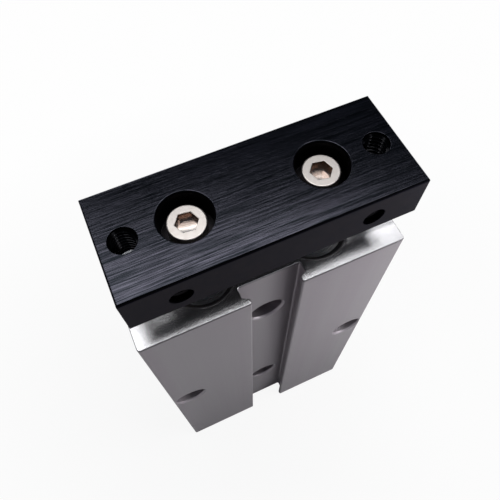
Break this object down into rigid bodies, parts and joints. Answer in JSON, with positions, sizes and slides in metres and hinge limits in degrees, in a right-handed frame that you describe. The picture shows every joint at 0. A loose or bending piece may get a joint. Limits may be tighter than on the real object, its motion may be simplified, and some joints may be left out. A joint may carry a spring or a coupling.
{
  "type": "twin rod pneumatic cylinder",
  "caption": "Flat twin rod air cylinder: grooved aluminium body with parallel rods that slide a drilled black tool plate straight out and back.",
  "frame": {"origin": "middle of the body's rear face", "axes": "+Z along the rods towards the plate, X across the width, grooved broad face towards -Y"},
  "size_m": [0.046, 0.017, 0.102],
  "materials": {
    "body_aluminium": "satin anodised extrusion, milled ends",
    "plate_black": "black anodised, brushed top",
    "screw_steel": "stainless",
    "rod_chrome": "ground and hard chromed",
    "cover_aluminium": "turned",
    "piston_aluminium": "turned",
    "bush_bronze": "sintered bronze",
    "seal_rubber": "nitrile rubber",
    "bumper_urethane": "polyurethane",
    "ring_steel": "phosphated spring steel",
    "magnet_dark": "bare sintered magnet",
    "wear_ring_resin": "filled resin"
  },
  "bodies": {
    "cylinder": {"cylinder_body": "body_aluminium", "rod_cover_left": "cover_aluminium", "rod_cover_right": "cover_aluminium", "rod_bush_left": "bush_bronze", "rod_bush_right": "bush_bronze", "rod_seal_left": "seal_rubber", "rod_seal_right": "seal_rubber", "rod_cover_o_ring_left": "seal_rubber", "rod_cover_o_ring_right": "seal_rubber", "front_snap_ring_left": "ring_steel", "front_snap_ring_right": "ring_steel", "front_bumper_left": "bumper_urethane", "front_bumper_right": "bumper_urethane", "rear_bumper_left": "bumper_urethane", "rear_bumper_right": "bumper_urethane", "rear_cover_left": "cover_aluminium", "rear_cover_right": "cover_aluminium", "rear_cover_o_ring_left": "seal_rubber", "rear_cover_o_ring_right": "seal_rubber", "rear_snap_ring_left": "ring_steel", "rear_snap_ring_right": "ring_steel"},
    "rod_assembly": {"tool_plate": "plate_black", "plate_screws": "screw_steel", "piston_screws": "screw_steel", "piston_rod_left": "rod_chrome", "piston_rod_right": "rod_chrome", "piston_front_left": "piston_aluminium", "piston_front_right": "piston_aluminium", "piston_rear_left": "piston_aluminium", "piston_rear_right": "piston_aluminium", "front_piston_seal_left": "seal_rubber", "front_piston_seal_right": "seal_rubber", "rear_piston_seal_left": "seal_rubber", "rear_piston_seal_right": "seal_rubber", "wear_ring_left": "wear_ring_resin", "wear_ring_right": "wear_ring_resin", "magnet_left": "magnet_dark", "magnet_right": "magnet_dark", "magnet_washer_left": "seal_rubber", "magnet_washer_right": "seal_rubber"}
  },
  "joints": [
    {"name": "rod_slide", "type": "slide", "parent": "cylinder", "child": "rod_assembly", "axis": [0, 0, 1], "range_m": [0, 0.03]}
  ]
}
